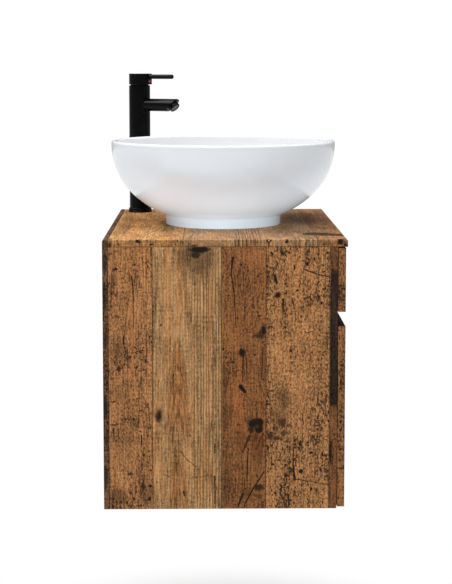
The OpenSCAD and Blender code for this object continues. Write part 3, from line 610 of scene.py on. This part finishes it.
def slot_materials():
    return {
        "drawer_board": inner_board(),
        "drawer_hardboard": hardboard(),
        "runner_steel": powder_coat("runner_steel", (0.72, 0.72, 0.70), 0.4, 0.5),
        "roller_nylon": moulded("roller_nylon", (0.72, 0.70, 0.62), 0.45),
        "zinc_hardware": metal("zinc_hardware", (0.62, 0.64, 0.67), 0.38, (900, 900, 120)),
        "white_glaze": glaze(),
        "black_rubber": moulded("black_rubber", (0.02, 0.02, 0.02), 0.8, 0.3),
        "plain_brass": metal("plain_brass", (0.72, 0.50, 0.22), 0.34, (120, 120, 1800)),
        "trap_plastic": moulded("trap_plastic", (0.76, 0.77, 0.78), 0.28),
        "black_coating": powder_coat("black_coating", (0.0010, 0.0010, 0.0011), 0.27, 0.11),
        "aerator_plastic": moulded("aerator_plastic", (0.07, 0.07, 0.075), 0.5),
        "cartridge_plastic": moulded("cartridge_plastic", (0.62, 0.61, 0.58), 0.45),
        "turret_plastic": moulded("turret_plastic", (0.55, 0.06, 0.04), 0.4),
        "red_blue_mark": mark_material(),
    }


# ---------- basin ----------

def arc(centre, radius, start, end, steps):
    """Points of an arc in the profile's plane; angles in degrees."""
    angles = [math.radians(start + (end - start) * i / steps) for i in range(steps + 1)]
    return [Vector((centre[0] + radius * math.cos(a), centre[1] + radius * math.sin(a))) for a in angles]


def basin_profile():
    """Half section of the basin, as (radius, height above the worktop): from the foot up the outside,
    round the rim, down the bowl, through the drain and back under the foot."""
    low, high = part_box("basin")
    rim_r, height = high.x, high.z - low.z
    thick, foot_r, floor = 0.008, 0.104, 0.016
    seat_r, drain_r, hollow = 0.032, 0.0225, 0.006
    edge, fillet, fillet_turn, fillet_steps = 0.0018, 0.0045, 0.021, 7
    rim_start = math.radians(0.9)
    # The walls are superellipses, a little squarer than an ellipse. The outer one is cut by the foot
    # before it reaches its full depth.
    power = 2 / 2.3
    drop = 1.0187 * height

    def wall(radius, depth, angle):
        return Vector((radius * math.cos(angle), height - depth * math.sin(angle) ** power))

    def sweep(radius, depth, start, end, steps):
        return [wall(radius, depth, start + (end - start) * i / steps) for i in range(steps + 1)]

    foot_a = math.acos(foot_r / rim_r)
    corner = wall(rim_r, drop, foot_a)
    outside = sweep(rim_r, drop, foot_a - fillet_turn, rim_start, 44)
    start = Vector((foot_r - 0.0002, corner.y - fillet))
    points = [Vector((foot_r - 0.0075, 0.0)), *arc((foot_r - 0.0022, edge), edge, -90, -10, 5), start]
    for i in range(1, fillet_steps):
        t = i / fillet_steps
        points.append(start * (1 - t) ** 2 + corner * 2 * t * (1 - t) + outside[0] * t * t)
    points += outside
    points += arc((rim_r - thick / 2, outside[-1].y), thick / 2 - 0.00001, 12, 168, 14)
    inner_r = rim_r - thick
    seat_a = math.acos(seat_r / inner_r)
    points += sweep(inner_r, height - floor, rim_start, seat_a, 56)[1:]
    points += [Vector(p) for p in (
        (seat_r, floor + 0.0004), (seat_r - 0.0004, floor), (drain_r + 0.0006, floor),
        (drain_r, floor - 0.0006), (drain_r, hollow), (foot_r - 0.012, hollow), (foot_r - 0.0098, 0.0004))]
    return points


def lathe(name, profile, base, segments):
    """A closed ring of a mesh: profile turned about the vertical through base."""
    bm = bmesh.new()
    rings = []
    for i in range(segments):
        a = 2 * math.pi * i / segments
        rings.append([bm.verts.new((base.x + p.x * math.cos(a), base.y + p.x * math.sin(a), base.z + p.y))
                      for p in profile])
    count = len(profile)
    for i in range(segments):
        this, following = rings[i], rings[(i + 1) % segments]
        for j in range(count):
            k = (j + 1) % count
            bm.faces.new((this[j], following[j], following[k], this[k]))
    bmesh.ops.recalc_face_normals(bm, faces=bm.faces)
    mesh = bpy.data.meshes.new(name)
    bm.to_mesh(mesh)
    bm.free()
    mesh.shade_smooth()
    obj = bpy.data.objects.new(name, mesh)
    bpy.context.scene.collection.objects.link(obj)
    return obj


def make_basin(material):
    base = Vector((0, 0, TOP_Z))
    basin = lathe("basin_glazed", basin_profile(), base, 160)
    basin.data.set_sharp_from_angle(angle=math.radians(38))
    basin.data.materials.append(material)
    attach(basin, "cabinet")
    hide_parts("basin")
    return basin


# ---------- camera, light and floor ----------

def make_camera():
    """Looks along the cabinet at its left side, from a little above."""
    camera = bpy.data.objects.new("camera", bpy.data.cameras.new("camera"))
    bpy.context.scene.collection.objects.link(camera)
    camera.data.lens = 84.26
    camera.data.sensor_width = 36
    camera.data.shift_y = -0.16
    camera.location = (-2.4533, 0.0320, 0.7208)
    tilt, yaw = 5.329, -0.868
    camera.rotation_euler = (math.radians(90 - tilt), 0, math.radians(-90 + yaw))
    bpy.context.scene.camera = camera


def make_world():
    """Even, slightly cool light from all round. The backdrop that the camera sees is plain white."""
    bpy.context.scene.view_settings.view_transform = "Standard"
    world = bpy.data.worlds.new("studio")
    bpy.context.scene.world = world
    world.use_nodes = True
    tree = world.node_tree
    tree.nodes.clear()
    seen = tree.nodes.new("ShaderNodeBackground")
    seen.inputs[0].default_value = (1, 1, 1, 1)
    fill = tree.nodes.new("ShaderNodeBackground")
    fill.inputs[0].default_value = (0.97, 0.985, 1.0, 1)
    fill.inputs[1].default_value = 0.34
    path = tree.nodes.new("ShaderNodeLightPath")
    mix = tree.nodes.new("ShaderNodeMixShader")
    out = tree.nodes.new("ShaderNodeOutputWorld")
    tree.links.new(path.outputs["Is Camera Ray"], mix.inputs[0])
    tree.links.new(fill.outputs[0], mix.inputs[1])
    tree.links.new(seen.outputs[0], mix.inputs[2])
    tree.links.new(mix.outputs[0], out.inputs[0])


def softbox(name, place, target, size, power, colour=(1, 1, 1)):
    """A rectangular light aimed at target, unseen by the camera."""
    light = bpy.data.objects.new(name, bpy.data.lights.new(name, "AREA"))
    light.data.shape = "RECTANGLE"
    light.data.size, light.data.size_y = size
    light.data.energy = power
    light.data.color = colour
    light.location = place
    light.visible_camera = False
    light.rotation_euler = (Vector(target) - Vector(place)).to_track_quat("-Z", "Y").to_euler()
    bpy.context.scene.collection.objects.link(light)
    return light


def linked(name, objects):
    """A collection of these objects, to link lights to."""
    group = bpy.data.collections.new(name)
    for obj in objects:
        group.objects.link(obj)
    return group


def make_lights(basin):
    """Softboxes. Three of them reach the basin alone, so that its underside stays white over the wood.
    The key and the front light leave out the basin and the black tap. One from above and behind
    puts a gleam along the tap's spout."""
    middle = (0, 0, 0.35)
    tap = [nodes[name] for name in (
        "tap_column", "tap_base_ring", "tap_spout", "aerator_collar", "handle_cap", "handle_lever")]
    others = linked("lit_without_basin_and_tap", [basin] + tap)
    for entry in others.collection_objects:
        entry.light_linking.link_state = "EXCLUDE"
    for light in (
        softbox("key", (-1.3, 2.0, 1.3), middle, (1.6, 1.6), 12, (1.0, 0.985, 0.96)),
        softbox("front", (-1.6, -0.1, 0.72), (0, -0.1, 0.6), (3.0, 0.8), 5, (0.94, 0.97, 1.0)),
    ):
        light.light_linking.receiver_collection = others
    softbox("overhead", (-0.2, 0.5, 2.4), middle, (2.6, 2.6), 48)
    gleam = softbox("tap_gleam", (0.2, 1.15, 1.85), (0.17, 0.12, 0.66), (1.0, 1.0), 14)
    gleam.light_linking.receiver_collection = linked("tap_light", tap)
    own = linked("basin_light", [basin])
    strip = softbox("basin_foot", (-0.4, -0.02, 0.38), (-0.104, -0.02, 0.462), (0.44, 0.03), 0.135,
                    (0.70, 0.88, 1.0))
    strip.data.spread = math.radians(40)
    strip.visible_glossy = False
    for light in (
        softbox("basin_front", (-1.3, 0.35, -0.35), (0, 0, 0.5), (3.8, 1.6), 22, (0.77, 0.90, 1.0)),
        softbox("basin_above", (-0.1, 0.0, 1.8), (0.05, 0, 0.5), (1.0, 1.0), 16),
        strip,
    ):
        light.light_linking.receiver_collection = own
        light.light_linking.blocker_collection = own


def make_floor():
    """A pale floor that fades to the white of the backdrop some way out."""
    level, reach = -0.40, 12.0
    bm = bmesh.new()
    bmesh.ops.create_circle(bm, cap_ends=True, segments=64, radius=reach)
    mesh = bpy.data.meshes.new("floor")
    bm.to_mesh(mesh)
    bm.free()
    floor = bpy.data.objects.new("floor", mesh)
    floor.location.z = level
    bpy.context.scene.collection.objects.link(floor)
    g = Graph("pale_floor")
    away = g.vector("LENGTH", g.coordinates(), out=1)
    surface = g.add("BsdfDiffuse", {0: (0.86, 0.86, 0.86, 1)})
    glow = g.add("Emission", {0: (1, 1, 1, 1), 1: 1.0})
    g.add("OutputMaterial", {0: g.add("MixShader", {0: away.smooth(0.25, 0.6), 1: surface, 2: glow})})
    mesh.materials.append(g.material)


# ---------- assembly ----------

def dress(materials, woods):
    """Gives every CAD node its material: its own wood, or that of its slot."""
    for part in record["subparts"]:
        obj = nodes[part["node"]]
        made = woods.get(part["node"]) or materials[part["material_slot"]]
        obj.data.materials.clear()
        obj.data.materials.append(made)


materials = slot_materials()
dress(materials, wood_materials())
basin = make_basin(materials["white_glaze"])
make_camera()
make_world()
make_lights(basin)
make_floor()
